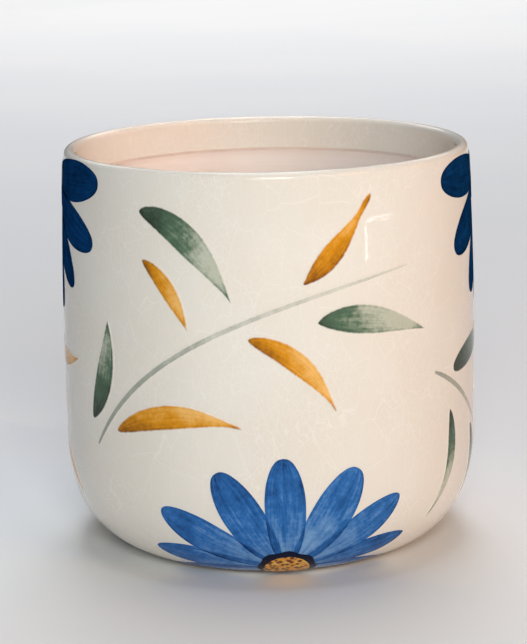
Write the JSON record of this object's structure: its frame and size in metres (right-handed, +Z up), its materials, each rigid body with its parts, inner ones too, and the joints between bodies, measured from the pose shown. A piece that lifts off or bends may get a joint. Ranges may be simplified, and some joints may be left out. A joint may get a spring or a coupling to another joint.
{
  "type": "painted pottery vase",
  "caption": "Cup-shaped earthenware vase with a rounded foot, cream crackle glaze and brushed blue daisies, green and ochre leaves.",
  "frame": {"origin": "centre of the foot, on the surface that the vase stands on", "axes": "+Z up along the turning axis, -Y towards the face with the long leafy sprig and the low daisy, +X to that face's right"},
  "size_m": [0.1502, 0.1502, 0.145],
  "materials": {
    "clay": "matt bare earthenware",
    "cream_glaze": "glossy cream crackle glaze",
    "liner_glaze": "satin thin glaze",
    "stem_green": "thin washed enamel under a gloss",
    "leaf_green": "brushed enamel under a gloss",
    "leaf_ochre": "brushed enamel under a gloss",
    "petal_blue": "brushed enamel under a gloss",
    "ring_blue": "thick brushed enamel",
    "eye_ochre": "stippled enamel"
  },
  "bodies": {
    "root": {"clay_body": "clay", "outer_glaze": "cream_glaze", "liner_glaze": "liner_glaze", "front_stem": "stem_green", "front_green_leaf_1": "leaf_green", "front_green_leaf_2": "leaf_green", "front_green_leaf_3": "leaf_green", "front_ochre_leaf_1": "leaf_ochre", "front_ochre_leaf_2": "leaf_ochre", "front_ochre_leaf_3": "leaf_ochre", "front_ochre_leaf_4": "leaf_ochre", "right_stem": "stem_green", "right_green_leaf_1": "leaf_green", "right_green_leaf_2": "leaf_green", "right_green_leaf_3": "leaf_green", "right_ochre_leaf_1": "leaf_ochre", "right_ochre_leaf_2": "leaf_ochre", "right_ochre_leaf_3": "leaf_ochre", "right_ochre_leaf_4": "leaf_ochre", "back_stem": "stem_green", "back_green_leaf_1": "leaf_green", "back_green_leaf_2": "leaf_green", "back_green_leaf_3": "leaf_green", "back_ochre_leaf_1": "leaf_ochre", "back_ochre_leaf_2": "leaf_ochre", "back_ochre_leaf_3": "leaf_ochre", "back_ochre_leaf_4": "leaf_ochre", "left_stem": "stem_green", "left_green_leaf_1": "leaf_green", "left_green_leaf_2": "leaf_green", "left_green_leaf_3": "leaf_green", "left_ochre_leaf_1": "leaf_ochre", "left_ochre_leaf_2": "leaf_ochre", "left_ochre_leaf_3": "leaf_ochre", "left_ochre_leaf_4": "leaf_ochre", "front_daisy_petals": "petal_blue", "front_daisy_ring": "ring_blue", "front_daisy_eye": "eye_ochre", "right_daisy_petals": "petal_blue", "right_daisy_ring": "ring_blue", "right_daisy_eye": "eye_ochre", "back_daisy_petals": "petal_blue", "back_daisy_ring": "ring_blue", "back_daisy_eye": "eye_ochre", "left_daisy_petals": "petal_blue", "left_daisy_ring": "ring_blue", "left_daisy_eye": "eye_ochre"}
  },
  "joints": []
}
